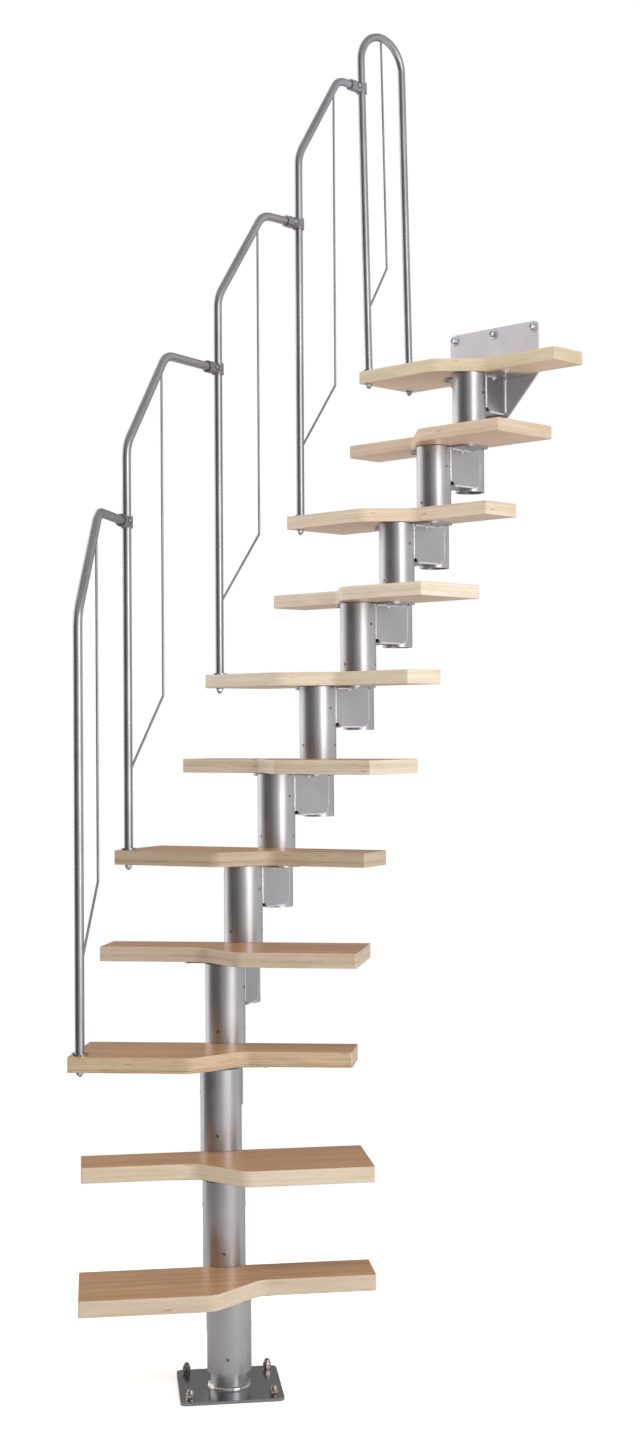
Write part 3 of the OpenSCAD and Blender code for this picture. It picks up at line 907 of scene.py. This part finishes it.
# ---------------------------------------------------------------- studio
# The light all round is an even grey with soft round patches that add to it or dim it.
# A patch has its azimuth and elevation, the angles from its middle where it is full and
# where it has faded out, and its strength.
SKY_LEVEL = 0.485
SKY = (
    ("adds", -167, 19, 20, 46, 1.1),
    ("adds", -8, -6, 14, 34, 0.8),
    ("adds", 48, 0, 15, 60, 0.3),
    ("adds", -136, 15, 8, 24, 0.3),
    ("dims", -94, 6, 14, 44, 0.8),
    ("adds", 0, -90, 30, 68, 0.55),
    ("dims", -130, -22, 14, 34, 0.8),
    ("dims", 133, 8, 8, 30, 0.45),
    ("dims", -137, 40, 10, 28, 0.45),
)
FLOOR_R = 1.5
FLOOR_Z = -0.0004


def add_world():
    """The sky lights the object; straight to the camera it is plain white."""
    world = bpy.data.worlds.new("studio")
    bpy.context.scene.world = world
    g = Graph(world)
    way = g.vector("NORMALIZE", g.add("ShaderNodeTexCoord").outputs["Generated"])
    level = SKY_LEVEL
    for effect, azimuth, elevation, inner, outer, strength in SKY:
        a, e = math.radians(azimuth), math.radians(elevation)
        centre = (math.cos(a) * math.cos(e), math.sin(a) * math.cos(e), math.sin(e))
        cosine = g.vector("DOT_PRODUCT", way, centre)
        patch = g.ramp(cosine, math.cos(math.radians(outer)), math.cos(math.radians(inner)))
        if effect == "adds":
            level = g.math("MULTIPLY_ADD", patch, strength, level)
        else:
            level = g.math("MULTIPLY", level, g.math("MULTIPLY_ADD", patch, -strength, 1.0))
    camera = g.add("ShaderNodeLightPath").outputs["Is Camera Ray"]
    level = g.math("ADD", g.math("MULTIPLY", level, g.math("SUBTRACT", 1.0, camera)), camera)
    back = g.add("ShaderNodeBackground")
    back.inputs["Color"].default_value = (1, 1, 1, 1)
    g.put(back.inputs["Strength"], level)
    out = g.add("ShaderNodeOutputWorld")
    g.tree.links.new(back.outputs[0], out.inputs[0])


def add_lamp(name, at, target, width, height, power, mirrored=True):
    data = bpy.data.lights.new(name, "AREA")
    data.shape = "RECTANGLE"
    data.size = width
    data.size_y = height
    data.energy = power
    lamp = bpy.data.objects.new(name, data)
    lamp.matrix_world = facing(Vector(at), Vector(at) - Vector(target))
    lamp.visible_camera = False
    lamp.visible_glossy = mirrored
    bpy.context.scene.collection.objects.link(lamp)


def add_floor():
    """A pale disc that keeps the object's shadow and glows a little to the camera."""
    mesh = bpy.data.meshes.new("floor")
    count = 64
    turns = [2 * math.pi * i / count for i in range(count)]
    rim = [(FLOOR_R * math.cos(a), FLOOR_R * math.sin(a), FLOOR_Z) for a in turns]
    mesh.from_pydata(rim, [], [tuple(range(count))])
    floor = bpy.data.objects.new("floor", mesh)
    bpy.context.scene.collection.objects.link(floor)
    material = bpy.data.materials.new("floor")
    g = Graph(material)
    plain = g.add("ShaderNodeBsdfDiffuse")
    plain.inputs["Color"].default_value = (0.8, 0.8, 0.8, 1)
    glow = g.add("ShaderNodeEmission")
    seen = g.add("ShaderNodeLightPath").outputs["Is Camera Ray"]
    g.put(glow.inputs["Strength"], g.math("MULTIPLY", seen, 0.6))
    both = g.add("ShaderNodeAddShader")
    g.tree.links.new(plain.outputs[0], both.inputs[0])
    g.tree.links.new(glow.outputs[0], both.inputs[1])
    out = g.add("ShaderNodeOutputMaterial")
    g.tree.links.new(both.outputs[0], out.inputs[0])
    mesh.materials.append(material)


def add_camera():
    data = bpy.data.cameras.new("camera")
    data.lens = LENS
    data.shift_x = LENS_SHIFT
    camera = bpy.data.objects.new("camera", data)
    forward = Vector(CAMERA_HEADING).normalized()
    right = forward.cross(Vector((0, 0, 1)))
    forward = Matrix.Rotation(CAMERA_PITCH, 3, right) @ forward
    up = right.cross(forward)
    turn = Matrix((right, up, -forward)).transposed().to_4x4() @ Matrix.Rotation(CAMERA_ROLL, 4, "Z")
    camera.matrix_world = Matrix.Translation(CAMERA_AT) @ turn
    bpy.context.scene.collection.objects.link(camera)
    bpy.context.scene.camera = camera


add_world()
add_floor()
add_camera()
add_lamp("key", at=(3.15, 0.1, 2.1), target=(-0.3, 0.5, 1.6), width=1.6, height=3.2, power=38)
add_lamp("front", at=(-0.4, -1.0, 4.4), target=(-0.35, 0.9, 1.9), width=1.8, height=1.2, power=52,
         mirrored=False)
bpy.context.scene.view_settings.view_transform = "Standard"
